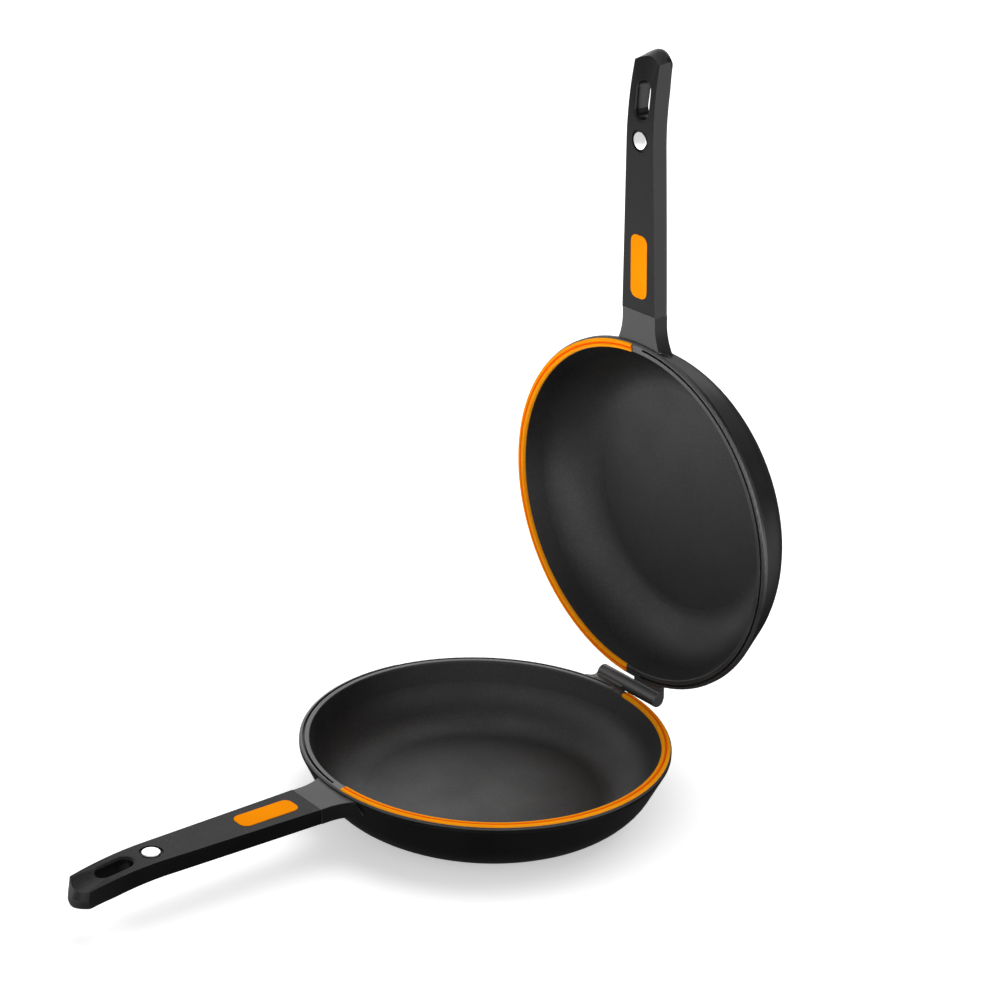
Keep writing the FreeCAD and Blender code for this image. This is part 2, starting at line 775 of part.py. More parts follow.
def hinge_pin():
    reach = bore_depth - pin_end_gap
    pin = along_y(pin_radius, -reach, reach)
    pin = pin.makeChamfer(pin_chamfer, [e for e in pin.Edges if e.BoundBox.YLength < pin_chamfer])
    return shifted(pin, hinge_offset)


def as_lower(shape):
    placed = shape.copy()
    placed.translate(Vector(0, 0, seam_height))
    return placed


def as_upper(shape):
    """A half turned over on the seam plane, then opened about the hinge."""
    placed = shape.copy()
    placed.rotate(Vector(0, 0, 0), Vector(1, 0, 0), 180)
    placed.rotate(Vector(hinge_x, 0, 0), Vector(0, 1, 0), open_angle)
    placed.translate(Vector(0, 0, seam_height))
    return placed


def save(node, shape):
    shape.exportStep("parts/" + node + ".step")
    box = shape.BoundBox
    size = "%.2f x %.2f x %.2f" % (box.XLength, box.YLength, box.ZLength)
    print(node, len(shape.Solids), "solids, valid", shape.isValid(), "volume %.1f" % shape.Volume, size)


def build():
    alike = {
        "base_disc": base_disc(),
        "neck": neck(),
        "grip": grip(),
        "insert": insert(),
        "magnet": magnet(),
        "grip_screws": screws(),
        "screw_washers": washers(),
    }
    for name, shape in alike.items():
        save("lower_" + name, as_lower(shape))
        save("upper_" + name, as_upper(shape))
    save("lower_pan", as_lower(pan(hinge_offset)))
    save("upper_pan", as_upper(pan(-hinge_offset)))
    save("lower_rim_seal", as_lower(rim_seal(hinge_offset)))
    save("upper_rim_seal", as_upper(rim_seal(-hinge_offset)))
    save("lower_hinge_bush", as_lower(bush(pin_press_fit, hinge_offset)))
    save("upper_hinge_bush", as_upper(bush(pin_running_fit, -hinge_offset)))
    save("hinge_pin", as_lower(hinge_pin()))


build()
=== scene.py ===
import math

import bpy
from mathutils import Euler, Matrix, Vector


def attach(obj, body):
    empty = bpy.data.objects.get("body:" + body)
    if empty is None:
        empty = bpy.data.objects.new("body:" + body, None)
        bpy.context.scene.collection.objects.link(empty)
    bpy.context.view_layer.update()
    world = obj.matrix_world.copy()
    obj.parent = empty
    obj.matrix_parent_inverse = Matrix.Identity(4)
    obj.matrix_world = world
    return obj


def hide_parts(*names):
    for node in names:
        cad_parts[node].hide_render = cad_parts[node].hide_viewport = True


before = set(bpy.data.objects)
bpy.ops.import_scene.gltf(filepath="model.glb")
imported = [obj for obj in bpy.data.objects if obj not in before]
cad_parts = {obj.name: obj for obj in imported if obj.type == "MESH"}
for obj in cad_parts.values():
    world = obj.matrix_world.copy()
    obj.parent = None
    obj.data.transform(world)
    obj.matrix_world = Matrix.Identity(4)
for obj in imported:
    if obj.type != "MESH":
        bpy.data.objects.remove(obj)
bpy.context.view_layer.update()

mm = 0.001
bpy.context.scene.view_settings.view_transform = "Standard"

# The two pans and how their halves lie: the lower one stands on its base, the upper one is turned over
# and opened about the hinge. The finishes use each half's own place, as if it stood alone with its mouth up.
seam_height = 44.7 * mm
hinge_x = 128.9 * mm
open_angle = math.radians(85.9)
lower_place = Matrix.Translation((0, 0, seam_height))
upper_place = Matrix.Translation((hinge_x, 0, seam_height)) @ Matrix.Rotation(open_angle, 4, "Y")
upper_place = upper_place @ Matrix.Translation((-hinge_x, 0, 0)) @ Matrix.Rotation(math.pi, 4, "X")
halves = {"lower": lower_place, "upper": upper_place}


def add(tree, kind, values=None, **settings):
    """A new node with its settings and its sockets filled, by a link where the value is a socket."""
    node = tree.nodes.new(kind)
    for key, value in settings.items():
        setattr(node, key, value)
    for key, value in (values or {}).items():
        if isinstance(value, bpy.types.NodeSocket):
            tree.links.new(value, node.inputs[key])
        else:
            node.inputs[key].default_value = value
    return node


def calc(tree, operation, first, second=0.0):
    return add(tree, "ShaderNodeMath", {0: first, 1: second}, operation=operation).outputs[0]


def compare(tree, operation, first, second):
    """A number from two vectors, their dot product or their distance."""
    return add(tree, "ShaderNodeVectorMath", {0: first, 1: second}, operation=operation).outputs["Value"]


def spread(tree, value, low, high, to_low=0.0, to_high=1.0):
    """A value carried from one range to another and held there."""
    node = add(tree, "ShaderNodeMapRange", {"Value": value, "From Min": low, "From Max": high,
                                            "To Min": to_low, "To Max": to_high})
    return node.outputs["Result"]


def blend(tree, share, first, second):
    """A colour between two, by a share."""
    node = add(tree, "ShaderNodeMix", {0: share, 6: first, 7: second}, data_type="RGBA")
    return node.outputs[2]


def between(tree, share, first, second):
    """A number between two, by a share."""
    return add(tree, "ShaderNodeMix", {0: share, 2: first, 3: second}).outputs[0]


def grey(value, tint=1.0):
    return (value, value, value * tint, 1)


def greys(tree, share, pair, tint=1.0):
    """A grey between two, by a share. The tint makes it a little blue."""
    return blend(tree, share, grey(pair[0], tint), grey(pair[1], tint))


def new_group(name, takes, gives):
    """A node group with its sockets named, and the sockets to link inside it."""
    group = bpy.data.node_groups.new(name, "ShaderNodeTree")
    for label, kind in takes:
        group.interface.new_socket(label, in_out="INPUT", socket_type=kind)
    for label, kind in gives:
        group.interface.new_socket(label, in_out="OUTPUT", socket_type=kind)
    return group, add(group, "NodeGroupInput").outputs, add(group, "NodeGroupOutput").inputs


# Grain: fine pits and a broad unevenness, for a height and for a mask of light specks.
broad_scale, broad_low, broad_high = 28.0, 0.3, 0.7
speck_edge, speck_core = 0.35, 0.12
grain, taken, given = new_group("grain", [("Place", "NodeSocketVector"), ("Size", "NodeSocketFloat")],
                                [("Height", "NodeSocketFloat"), ("Specks", "NodeSocketFloat"),
                                 ("Broad", "NodeSocketFloat")])
per_metre = calc(grain, "DIVIDE", 1.0, taken["Size"])
fine = add(grain, "ShaderNodeTexNoise", {"Vector": taken["Place"], "Scale": per_metre, "Detail": 5.0})
specks = add(grain, "ShaderNodeTexVoronoi", {"Vector": taken["Place"], "Scale": per_metre})
broad = add(grain, "ShaderNodeTexNoise", {"Vector": taken["Place"], "Scale": broad_scale, "Detail": 3.0})
grain.links.new(fine.outputs["Fac"], given["Height"])
grain.links.new(spread(grain, specks.outputs["Distance"], speck_edge, speck_core), given["Specks"])
grain.links.new(spread(grain, broad.outputs["Fac"], broad_low, broad_high), given["Broad"])

# Edge wear: where the surface turns sharply, broken up by noise.
slight_turn, sharp_turn = 0.985, 0.86
rub_scale, rub_low, rub_high = 420.0, 0.35, 0.7
wear, taken, given = new_group("edge wear", [("Place", "NodeSocketVector"), ("Width", "NodeSocketFloat")],
                               [("Mask", "NodeSocketFloat")])
rounded = add(wear, "ShaderNodeBevel", {"Radius": taken["Width"]}, samples=4)
true_face = add(wear, "ShaderNodeNewGeometry")
turning = compare(wear, "DOT_PRODUCT", rounded.outputs[0], true_face.outputs["Normal"])
broken = add(wear, "ShaderNodeTexNoise", {"Vector": taken["Place"], "Scale": rub_scale, "Detail": 4.0})
edge = spread(wear, turning, slight_turn, sharp_turn)
rubbed = spread(wear, broken.outputs["Fac"], rub_low, rub_high)
wear.links.new(calc(wear, "MULTIPLY", edge, rubbed), given["Mask"])

# Dust: thin, uneven, on what faces up.
level_from = 0.6
mote_scale, mote_low, mote_high = 900.0, 0.62, 0.75
dust, taken, given = new_group("dust", [("Place", "NodeSocketVector")], [("Mask", "NodeSocketFloat")])
facing_up = add(dust, "ShaderNodeSeparateXYZ", {0: add(dust, "ShaderNodeNewGeometry").outputs["Normal"]})
motes = add(dust, "ShaderNodeTexNoise", {"Vector": taken["Place"], "Scale": mote_scale, "Detail": 2.0})
lying = spread(dust, facing_up.outputs["Z"], level_from, 1.0)
settled = spread(dust, motes.outputs["Fac"], mote_low, mote_high)
dust.links.new(calc(dust, "MULTIPLY", lying, settled), given["Mask"])


class Finish:
    """A material being made for one half, with that half's own place and facing at hand."""

    def __init__(self, name, half):
        self.paint = bpy.data.materials.new(half + " " + name)
        self.paint.use_nodes = True
        self.tree = self.paint.node_tree
        self.shader = self.tree.nodes["Principled BSDF"]
        turn = Euler((math.pi, open_angle, 0)) if half == "upper" else Euler((0, 0, 0))
        own = halves[half].inverted()
        here = add(self.tree, "ShaderNodeTexCoord").outputs["Object"]
        self.place = add(self.tree, "ShaderNodeMapping", {"Vector": here, "Location": own.translation,
                                                          "Rotation": turn}).outputs[0]
        normal = add(self.tree, "ShaderNodeNewGeometry").outputs["Normal"]
        self.facing = add(self.tree, "ShaderNodeMapping", {"Vector": normal, "Rotation": turn},
                          vector_type="NORMAL").outputs[0]
        parts = add(self.tree, "ShaderNodeSeparateXYZ", {0: self.place}).outputs
        self.x, self.y, self.z = parts["X"], parts["Y"], parts["Z"]
        flat = add(self.tree, "ShaderNodeCombineXYZ", {"X": self.x, "Y": self.y}).outputs[0]
        self.from_axis = add(self.tree, "ShaderNodeVectorMath", {0: flat}, operation="LENGTH").outputs["Value"]
        self.up = add(self.tree, "ShaderNodeSeparateXYZ", {0: self.facing}).outputs["Z"]

    def effect(self, group, **sizes):
        return add(self.tree, "ShaderNodeGroup", {"Place": self.place, **sizes}, node_tree=group).outputs

    def grain(self, size):
        return self.effect(grain, Size=size)

    def wear(self, width):
        return self.effect(wear, Width=width)["Mask"]

    def dust(self, share):
        return self.both(self.effect(dust)["Mask"], share)

    def above(self, value, limit, soft):
        """A mask of where a value is over a limit, with a soft border."""
        return spread(self.tree, value, limit - soft, limit + soft)

    def both(self, first, second):
        return calc(self.tree, "MULTIPLY", first, second)

    def set(self, **values):
        """Fill the shader's sockets, with _ for a space in their names."""
        for key, value in values.items():
            socket = self.shader.inputs[key.replace("_", " ")]
            if isinstance(value, bpy.types.NodeSocket):
                self.tree.links.new(value, socket)
            else:
                socket.default_value = value

    def bump(self, height, depth):
        node = add(self.tree, "ShaderNodeBump", {"Height": height, "Distance": depth, "Strength": 1.0})
        self.tree.links.new(node.outputs["Normal"], self.shader.inputs["Normal"])


def dress(node_name, paint):
    """Give a node of the part its finish."""
    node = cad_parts[node_name]
    node.data.materials.clear()
    node.data.materials.append(paint)


# The castings: satin black outside, a matt speckled non-stick coat inside, thinner and greyer on the lip,
# and bare grey satin on the web and the barrel.
lip_low = -2.2 * mm
rim_inner = 114.9 * mm
rim_outer = 122.3 * mm
inside_aim = 60.0 * mm
border = 0.2 * mm
metal_grain, coat_grain, pit_depth = 0.5 * mm, 1.5 * mm, 0.03 * mm
outside_tones, coat_tones = (0.004, 0.007), (0.003, 0.026)
lip_tones, hinge_tones = (0.018, 0.028), (0.04, 0.055)
outside_tint, coat_tint, lip_tint = 1.05, 1.04, 1.02
rubbed_width, rubbed_tone, dust_share, dust_tone = 0.5 * mm, 0.16, 0.12, 0.4
outside_rough, coat_rough, lip_rough, hinge_rough = 0.30, 0.5, 0.36, 0.34
uneven_low, uneven_high = -0.04, 0.05
outside_gloss, coat_gloss, lip_gloss = 0.4, 0.8, 0.9


def casting(half):
    """The pan's finish. Its inside is what faces a point on the pan's axis, above the mouth."""
    work = Finish("casting", half)
    tree = work.tree
    back = calc(tree, "MULTIPLY", work.x, -1.0)
    aside = calc(tree, "MULTIPLY", work.y, -1.0)
    to_mouth = add(tree, "ShaderNodeCombineXYZ", {"X": back, "Y": aside, "Z": inside_aim}).outputs[0]
    inside = calc(tree, "GREATER_THAN", compare(tree, "DOT_PRODUCT", work.facing, to_mouth))
    lip = work.both(work.above(work.z, lip_low, border), work.above(work.from_axis, rim_inner, border))
    hinge = work.both(work.above(work.from_axis, rim_outer, border), work.above(work.x, 0.0, mm))
    metal, coat = work.grain(metal_grain), work.grain(coat_grain)
    broad = metal["Broad"]
    tone = blend(tree, inside, greys(tree, broad, outside_tones, outside_tint),
                 greys(tree, coat["Specks"], coat_tones, coat_tint))
    tone = blend(tree, lip, tone, greys(tree, broad, lip_tones, lip_tint))
    tone = blend(tree, hinge, tone, greys(tree, broad, hinge_tones, lip_tint))
    tone = blend(tree, work.wear(rubbed_width), tone, grey(rubbed_tone))
    tone = blend(tree, work.dust(dust_share), tone, grey(dust_tone))
    rough = between(tree, inside, outside_rough, coat_rough)
    rough = between(tree, lip, rough, lip_rough)
    rough = between(tree, hinge, rough, hinge_rough)
    rough = calc(tree, "ADD", rough, between(tree, broad, uneven_low, uneven_high))
    gloss = between(tree, lip, between(tree, inside, outside_gloss, coat_gloss), lip_gloss)
    work.set(Base_Color=tone, Roughness=rough, Specular_IOR_Level=gloss)
    work.bump(calc(tree, "ADD", metal["Height"], coat["Height"]), pit_depth)
    return work.paint


for half in halves:
    dress(half + "_pan", casting(half))


# The rim seals: orange silicone, a stem in the channel under a cap with two rounded ridges and painted shade
# in the valley between them, laid in the half of the rim on one side of the handle line.
seal_inner = 115.15 * mm
seal_outer = 120.86 * mm
seal_low = -2.1 * mm
seal_valley = -0.3 * mm
ridge_rise = 0.7 * mm
ridge_fullness = 0.75
seal_columns = 16
seal_steps = 200
seal_smooth = 50
seal_ends = {"lower": (4.44 * mm, 4.94 * mm), "upper": (4.44 * mm, 7.34 * mm)}
seal_middle = (seal_inner + seal_outer) / 2
seal_mid_height = (seal_low + seal_valley) / 2
seal_width = seal_outer - seal_inner
painted_shade_half, painted_shade_soft = 0.8 * mm, 0.45 * mm
ridge_tone, ridge_light_tone = (0.98, 0.31, 0.005, 1), (1.0, 0.36, 0.008, 1)
# The darker red between the ridges is painted shade, laid along the valley between them.
valley_painted_shade_tone, speck_tone, speck_share = (0.9, 0.12, 0.002, 1), (1, 0.5, 0.2, 1), 0.06
seal_grain, seal_pit, seal_rough = 0.35 * mm, 0.012 * mm, (0.42, 0.52)
inner_light, inner_reach, inner_colours = 0.12, 0.8 * mm, (1.0, 0.35, 0.1)


def in_edit(work, **settings):
    bpy.ops.object.mode_set(mode="EDIT")
    work(**settings)
    bpy.ops.object.mode_set(mode="OBJECT")


def turn_outward():
    """Select the whole piece and turn its faces outward."""
    in_edit(bpy.ops.mesh.select_all, action="SELECT")
    in_edit(bpy.ops.mesh.normals_make_consistent, inside=False)


def settle(piece, half):
    """Put a finished piece in its half's place, with the place in its mesh."""
    bpy.ops.object.select_all(action="DESELECT")
    piece.select_set(True)
    bpy.context.view_layer.objects.active = piece
    piece.matrix_world = halves[half] @ piece.matrix_world
    bpy.ops.object.transform_apply(location=True, rotation=True, scale=True)


def rubber(half):
    work = Finish("silicone", half)
    tree = work.tree
    fine = work.grain(seal_grain)
    off_middle = calc(tree, "SUBTRACT", work.from_axis, seal_middle)
    # A band along the middle of the seal, darkened: painted shade in the valley between the ridges.
    valley_painted_shade = work.above(calc(tree, "ABSOLUTE", off_middle), painted_shade_half, painted_shade_soft)
    tone = blend(tree, fine["Broad"], ridge_tone, ridge_light_tone)
    tone = blend(tree, valley_painted_shade, valley_painted_shade_tone, tone)
    tone = blend(tree, work.both(fine["Specks"], speck_share), tone, speck_tone)
    work.set(Base_Color=tone, Roughness=between(tree, fine["Broad"], *seal_rough), Specular_IOR_Level=0.0,
             Subsurface_Weight=inner_light, Subsurface_Scale=inner_reach, Subsurface_Radius=inner_colours)
    work.bump(fine["Height"], seal_pit)
    return work.paint


for half, (handle_end, hinge_end) in seal_ends.items():
    bpy.ops.object.select_all(action="DESELECT")
    bpy.ops.mesh.primitive_grid_add(x_subdivisions=seal_columns, y_subdivisions=1, size=1,
                                    location=(seal_middle, 0, seal_mid_height),
                                    rotation=(math.pi / 2, 0, 0))
    seal = bpy.context.object
    seal.name = half + "_seal_strip"
    seal.scale = (seal_width, seal_valley - seal_low, 1)
    bpy.ops.object.transform_apply(location=True, rotation=True, scale=True)
    for point in seal.data.vertices:
        share = (point.co.x - seal_inner) / seal_width
        if point.co.z > seal_mid_height:
            point.co.z += ridge_rise * abs(math.sin(2 * math.pi * share)) ** ridge_fullness
    start = math.pi + math.asin(handle_end / seal_middle)
    finish = 2 * math.pi - math.asin(hinge_end / seal_middle)
    seal.rotation_euler.z = start
    bpy.ops.object.transform_apply(rotation=True)
    in_edit(bpy.ops.mesh.select_all, action="SELECT")
    in_edit(bpy.ops.mesh.spin, steps=seal_steps, angle=start - finish, center=(0, 0, 0), axis=(0, 0, 1))
    turn_outward()
    bpy.ops.object.shade_smooth_by_angle(angle=math.radians(seal_smooth))
    settle(seal, half)
    seal.data.materials.append(rubber(half))
    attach(seal, half + "_half")
    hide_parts(half + "_rim_seal")


# The necks: die-cast sleeves in one fine satin grey, with painted shade making the drawn sides blacker than the
# top, rubbed at the edges.
top_from, top_soft = 0.8, 0.12
neck_grain, neck_pit, neck_rough = 0.45 * mm, 0.025 * mm, (0.36, 0.46)
neck_tones, neck_tint, neck_side_painted_shade = (0.022, 0.03), 1.02, 0.008
neck_rubbed_width, neck_rubbed_tone = 0.4 * mm, 0.3
neck_side_gloss, neck_top_gloss = 0.15, 0.55


def sleeve(half):
    work = Finish("neck casting", half)
    tree = work.tree
    fine = work.grain(neck_grain)
    top = work.above(work.up, top_from, top_soft)
    # The sides take a near-black tone, which is painted shade; the top keeps the satin grey.
    tone = blend(tree, top, grey(neck_side_painted_shade), greys(tree, fine["Broad"], neck_tones, neck_tint))
    tone = blend(tree, work.wear(neck_rubbed_width), tone, grey(neck_rubbed_tone))
    work.set(Base_Color=tone, Roughness=between(tree, fine["Broad"], *neck_rough),
             Specular_IOR_Level=between(tree, top, neck_side_gloss, neck_top_gloss))
    work.bump(fine["Height"], neck_pit)
    return work.paint


for half in halves:
    dress(half + "_neck", sleeve(half))


# The grips: black phenolic plastic, finely spark-eroded on the face and smooth on the drawn sides.
grip_grain, grip_pit, side_pit_share = 0.4 * mm, 0.03 * mm, 0.3
grip_tones = (0.004, 0.007)
grip_rubbed_width, grip_rubbed_tone, grip_dust_share, grip_dust_tone = 0.35 * mm, 0.07, 0.10, 0.45
grip_side_rough, grip_face_rough, grip_gloss = 0.24, 0.44, 0.2
grip_uneven_low, grip_uneven_high = -0.03, 0.04
grip_smooth = 24


def plastic(half):
    work = Finish("grip plastic", half)
    tree = work.tree
    fine = work.grain(grip_grain)
    face = work.above(work.up, top_from, top_soft)
    tone = greys(tree, fine["Broad"], grip_tones)
    tone = blend(tree, work.wear(grip_rubbed_width), tone, grey(grip_rubbed_tone))
    tone = blend(tree, work.dust(grip_dust_share), tone, grey(grip_dust_tone))
    rough = between(tree, face, grip_side_rough, grip_face_rough)
    rough = calc(tree, "ADD", rough, between(tree, fine["Broad"], grip_uneven_low, grip_uneven_high))
    work.set(Base_Color=tone, Roughness=rough, Specular_IOR_Level=grip_gloss)
    work.bump(work.both(fine["Height"], between(tree, face, side_pit_share, 1.0)), grip_pit)
    return work.paint


# Each is straight from the neck, then bends down to the tip, where a shallow dish runs out through the end.
# Its sizes are in millimetres. Distances along it count from the pan's axis, heights from the mouth's plane.
grip_start, grip_middle, grip_corner = 143.12, 225.0, 305.2
face_drop, face_bend, face_bend_radius = 2.5, 255.0, 234.0
under_drop, under_bend, under_bend_drop, under_bend_radius = 12.6, 252.0, 13.5, 205.0
grip_depth = 18.5
start_half, start_draft = 15.6, 2.0
middle_half, middle_draft = 13.4, 1.7
corner_half, corner_draft = 11.3, 0.3
corner_lean, nose, nose_lean = 2.1, 0.9, 5.4
dish_start, dish_radius, dish_slope = 288.0, 34.0, math.tan(math.radians(14.6))
side_round, side_round_tip, tip_round, round_start, round_run = 1.2, 3.4, 6.6, 286.0, 20.0
coarse_count, coarse_step = 9, 12.4
fine_count, fine_from, fine_step = 31, 252.0, 1.6
stations = [grip_start + coarse_step * i for i in range(coarse_count)]
stations += [fine_from + fine_step * i for i in range(fine_count)]
# The blank's lower edges are rounded by arcs of three points: some across the underside, some up the walls.
arc_angles, row_angles = (45.0, 67.5, 90.0), (45.0, 22.5, 0.0)
arc_points, arc_last = 3, 2
station_count, column_count, row_count = len(stations) + arc_last, 24, 9
grip_counts = (station_count, column_count, row_count)


def drop_of_bend(run, radius):
    """How far an arc has left its tangent after a run."""
    return radius - math.sqrt(radius ** 2 - run ** 2) if run > 0 else 0.0


def plain_face(u):
    """Height of the face without the dish, at a distance along the grip."""
    return -face_drop - drop_of_bend(u - face_bend, face_bend_radius)


def face_at(u, y):
    """Height of the face: its bend, or the dish where that lies lower."""
    dish = plain_face(dish_start) - dish_slope * (u - dish_start) + drop_of_bend(abs(y), dish_radius)
    return min(plain_face(u), dish)


def under_at(u):
    """Height of the underside, at a distance along the grip."""
    slope = (under_bend_drop - under_drop) / (under_bend - grip_start)
    return -under_drop - slope * (u - grip_start) - drop_of_bend(u - under_bend, under_bend_radius)


def half_width(u, z):
    """Half the grip's width, from its width at the start, middle and tip at that height."""
    down = (-z - face_drop) / grip_depth
    a, b, c = grip_start, grip_middle, grip_corner + corner_lean * down
    at_start = start_half + start_draft * down
    at_middle = middle_half + middle_draft * down
    at_corner = corner_half + corner_draft * down
    return (at_start * (u - b) * (u - c) / ((a - b) * (a - c))
            + at_middle * (u - a) * (u - c) / ((b - a) * (b - c))
            + at_corner * (u - a) * (u - b) / ((c - a) * (c - b)))


def end_at(share, z):
    """How far the end reaches, at a share of the half width and a height."""
    down = (-z - face_drop) / grip_depth
    return grip_corner + corner_lean * down + (nose + nose_lean * down) * (1 - share ** 2)


def edge_round(u):
    """Radius of the lower side edges, which grows towards the tip."""
    share = max(0.0, min(1.0, (u - round_start) / round_run))
    return side_round + (side_round_tip - side_round) * share * share * (3 - 2 * share)


def inset(radius, degrees):
    """How far a point of a round edge lies in from the wall."""
    return radius * (1 - math.cos(math.radians(degrees)))


def rise(radius, degrees):
    """How far a point of a round edge lies above the underside."""
    return radius * (1 - math.sin(math.radians(degrees)))


def grip_point(i, j, k):
    """Where one point of the blank goes, by its station, column and row."""
    from_end, from_side = station_count - i, min(j, column_count - j)
    side = -1 if j < column_count / 2 else 1
    even = 2 * j / column_count - 1
    up_share = max(0.0, (k - arc_last) / (row_count - arc_last))
    angle = row_angles[min(k, arc_last)]
    end_angle = arc_angles[from_end] if from_end < arc_points and (k == 0 or from_end) else angle
    side_angle = arc_angles[from_side] if from_side < arc_points and (k == 0 or from_side) else angle
    u = stations[i] if from_end > arc_last else grip_corner
    z, y = under_at(u), 0.0
    # Width, reach and height hang together: three rounds settle them.
    for again in range(3):
        radius = edge_round(u)
        wide = half_width(min(u, grip_corner + corner_lean), z)
        if from_side < arc_points:
            low_y = side * (wide - inset(radius, side_angle))
        else:
            low_y = (wide - radius) * (2 * (j - arc_last) / (column_count - 2 * arc_last) - 1)
        y = low_y + (even * wide - low_y) * up_share
        reach = end_at(max(-1.0, min(1.0, y / wide)), z)
        if from_end < arc_points:
            low_u = reach - inset(tip_round, end_angle)
            high_u = reach - (reach - stations[-1]) * from_end / arc_points
            u = low_u + (high_u - low_u) * up_share
        lift = [0.0]
        if from_end < arc_points:
            lift.append(rise(tip_round, end_angle))
        if from_side < arc_points:
            lift.append(rise(radius, side_angle))
        if k and (not from_end or not from_side):
            lift.append(rise(radius if from_end else tip_round, angle))
        low, high = under_at(u), face_at(u, y)
        if k < arc_points:
            z = low + max(lift)
        else:
            foot = low + (radius if from_end else tip_round)
            z = foot + (high - foot) * up_share
    return Vector((-u * mm, y * mm, z * mm))


def cut_out(piece, tool):
    """Take a tool's shape out of a piece."""
    bpy.ops.object.select_all(action="DESELECT")
    bpy.context.view_layer.objects.active = piece
    piece.select_set(True)
    cut = piece.modifiers.new("cut", "BOOLEAN")
    cut.object, cut.operation, cut.solver = tool, "DIFFERENCE", "EXACT"
    bpy.ops.object.modifier_apply(modifier="cut")
    bpy.data.objects.remove(tool)


def pick_edges(piece, test):
    """Select only the edges whose two ends pass a test."""
    in_edit(bpy.ops.mesh.select_mode, type="EDGE")
    in_edit(bpy.ops.mesh.select_all, action="DESELECT")
    points = piece.data.vertices
    for line in piece.data.edges:
        line.select = test(*(points[i].co for i in line.vertices))


def split_along(piece, axis, cuts):
    """Cut the edges that run along one axis in equal parts."""
    mostly = 0.9
    pick_edges(piece, lambda first, last: abs((last - first)[axis]) > mostly * (last - first).length)
    in_edit(bpy.ops.mesh.subdivide, number_cuts=cuts)


bpy.ops.object.select_all(action="DESELECT")
bpy.ops.mesh.primitive_cube_add(size=1, location=(0.5, 0.5, 0.5))
blank = bpy.context.object
blank.name = "grip_blank"
bpy.ops.object.transform_apply(location=True)
for axis, count in enumerate(grip_counts):
    split_along(blank, axis, count - 1)
for point in blank.data.vertices:
    point.co = grip_point(*(round(point.co[n] * count) for n, count in enumerate(grip_counts)))
turn_outward()

# The hanging slot, with a wide rounded mouth, cut with a tool that follows the face and the underside.
slot_near, slot_far, slot_half = 270.4, 294.5, 5.8
# Each ring of the tool has what it follows, its height over that and how much wider than the slot it is.
mouth_round, back_round = 1.7, 0.9
mouth_angles = [math.degrees(turned) for turned in (1.57, 1.2, 0.8, 0.4, 0.0)]
back_angles = [math.degrees(turned) for turned in (0.0, 0.8, 1.57)]
above_face, below_slot, below_screws = 4.0, -40.0, -30.0
round_sides = 64
slot_rings = [(None, below_slot, back_round)]
slot_rings += [("under", inset(back_round, angle), rise(back_round, angle)) for angle in back_angles]
slot_rings += [("face", -inset(mouth_round, angle), rise(mouth_round, angle)) for angle in mouth_angles]
slot_rings += [(None, above_face, mouth_round)]
bpy.ops.object.select_all(action="DESELECT")
bpy.ops.mesh.primitive_cylinder_add(vertices=round_sides, radius=1, depth=1, location=(0, 0, 0.5))
slot_tool = bpy.context.object
bpy.ops.object.transform_apply(location=True)
split_along(slot_tool, 2, len(slot_rings) - 2)
for point in slot_tool.data.vertices:
    level, height, grow = slot_rings[round(point.co.z * (len(slot_rings) - 1))]
    centre = slot_far - slot_half if point.co.x > 0 else slot_near + slot_half
    u, y = centre + (slot_half + grow) * point.co.x, (slot_half + grow) * point.co.y
    base = {None: 0.0, "under": under_at(u), "face": plain_face(u)}[level]
    point.co = Vector((-u * mm, y * mm, (base + height) * mm))
turn_outward()
cut_out(blank, slot_tool)

# Round holes: the magnet's recess and pocket, and the two screws' holes below. Place, radius, floor and top.
round_holes = ((256.7, 7.5, -3.5, above_face), (256.7, 5.83, -5.73, above_face),
               (158.0, 4.0, below_screws, -10.3), (173.0, 4.0, below_screws, -10.3))
for u, radius, low, high in round_holes:
    bpy.ops.object.select_all(action="DESELECT")
    bpy.ops.mesh.primitive_cylinder_add(vertices=round_sides, radius=radius * mm, depth=(high - low) * mm,
                                        location=(-u * mm, 0, (low + high) / 2 * mm))
    cut_out(blank, bpy.context.object)

# The insert's pocket, a hair wider than the insert all round.
pocket_near, pocket_far, pocket_half, pocket_corner, pocket_low = 152.55, 195.05, 7.55, 5.2, -4.05
corner_steps, nearly = 10, 0.01 * mm


def bevel_picked(piece, pick, offset, segments):
    """Round the edges that a test picks by their two ends."""
    pick_edges(piece, pick)
    in_edit(bpy.ops.mesh.bevel, offset=offset, segments=segments, affect="EDGES")


def upright(first, last):
    return abs(first.z - last.z) > mm


bpy.ops.object.select_all(action="DESELECT")
bpy.ops.mesh.primitive_cube_add(size=1, location=(-(pocket_near + pocket_far) / 2 * mm, 0,
                                                  (pocket_low + above_face) / 2 * mm))
pocket = bpy.context.object
pocket.scale = ((pocket_far - pocket_near) * mm, 2 * pocket_half * mm, (above_face - pocket_low) * mm)
bpy.ops.object.transform_apply(location=True, rotation=True, scale=True)
bevel_picked(pocket, upright, pocket_corner * mm, corner_steps)
cut_out(blank, pocket)


def copy_of(model, name, half, smooth):
    """A copy of a finished piece, with a mesh of its own, put in its half's place."""
    piece = model.copy()
    piece.data = model.data.copy()
    piece.name = name
    bpy.context.scene.collection.objects.link(piece)
    settle(piece, half)
    bpy.ops.object.shade_smooth_by_angle(angle=math.radians(smooth))
    return piece


for half in halves:
    moulding = copy_of(blank, half + "_moulded_grip", half, grip_smooth)
    moulding.data.materials.append(plastic(half))
    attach(moulding, half + "_half")
    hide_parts(half + "_grip")
bpy.data.objects.remove(blank)


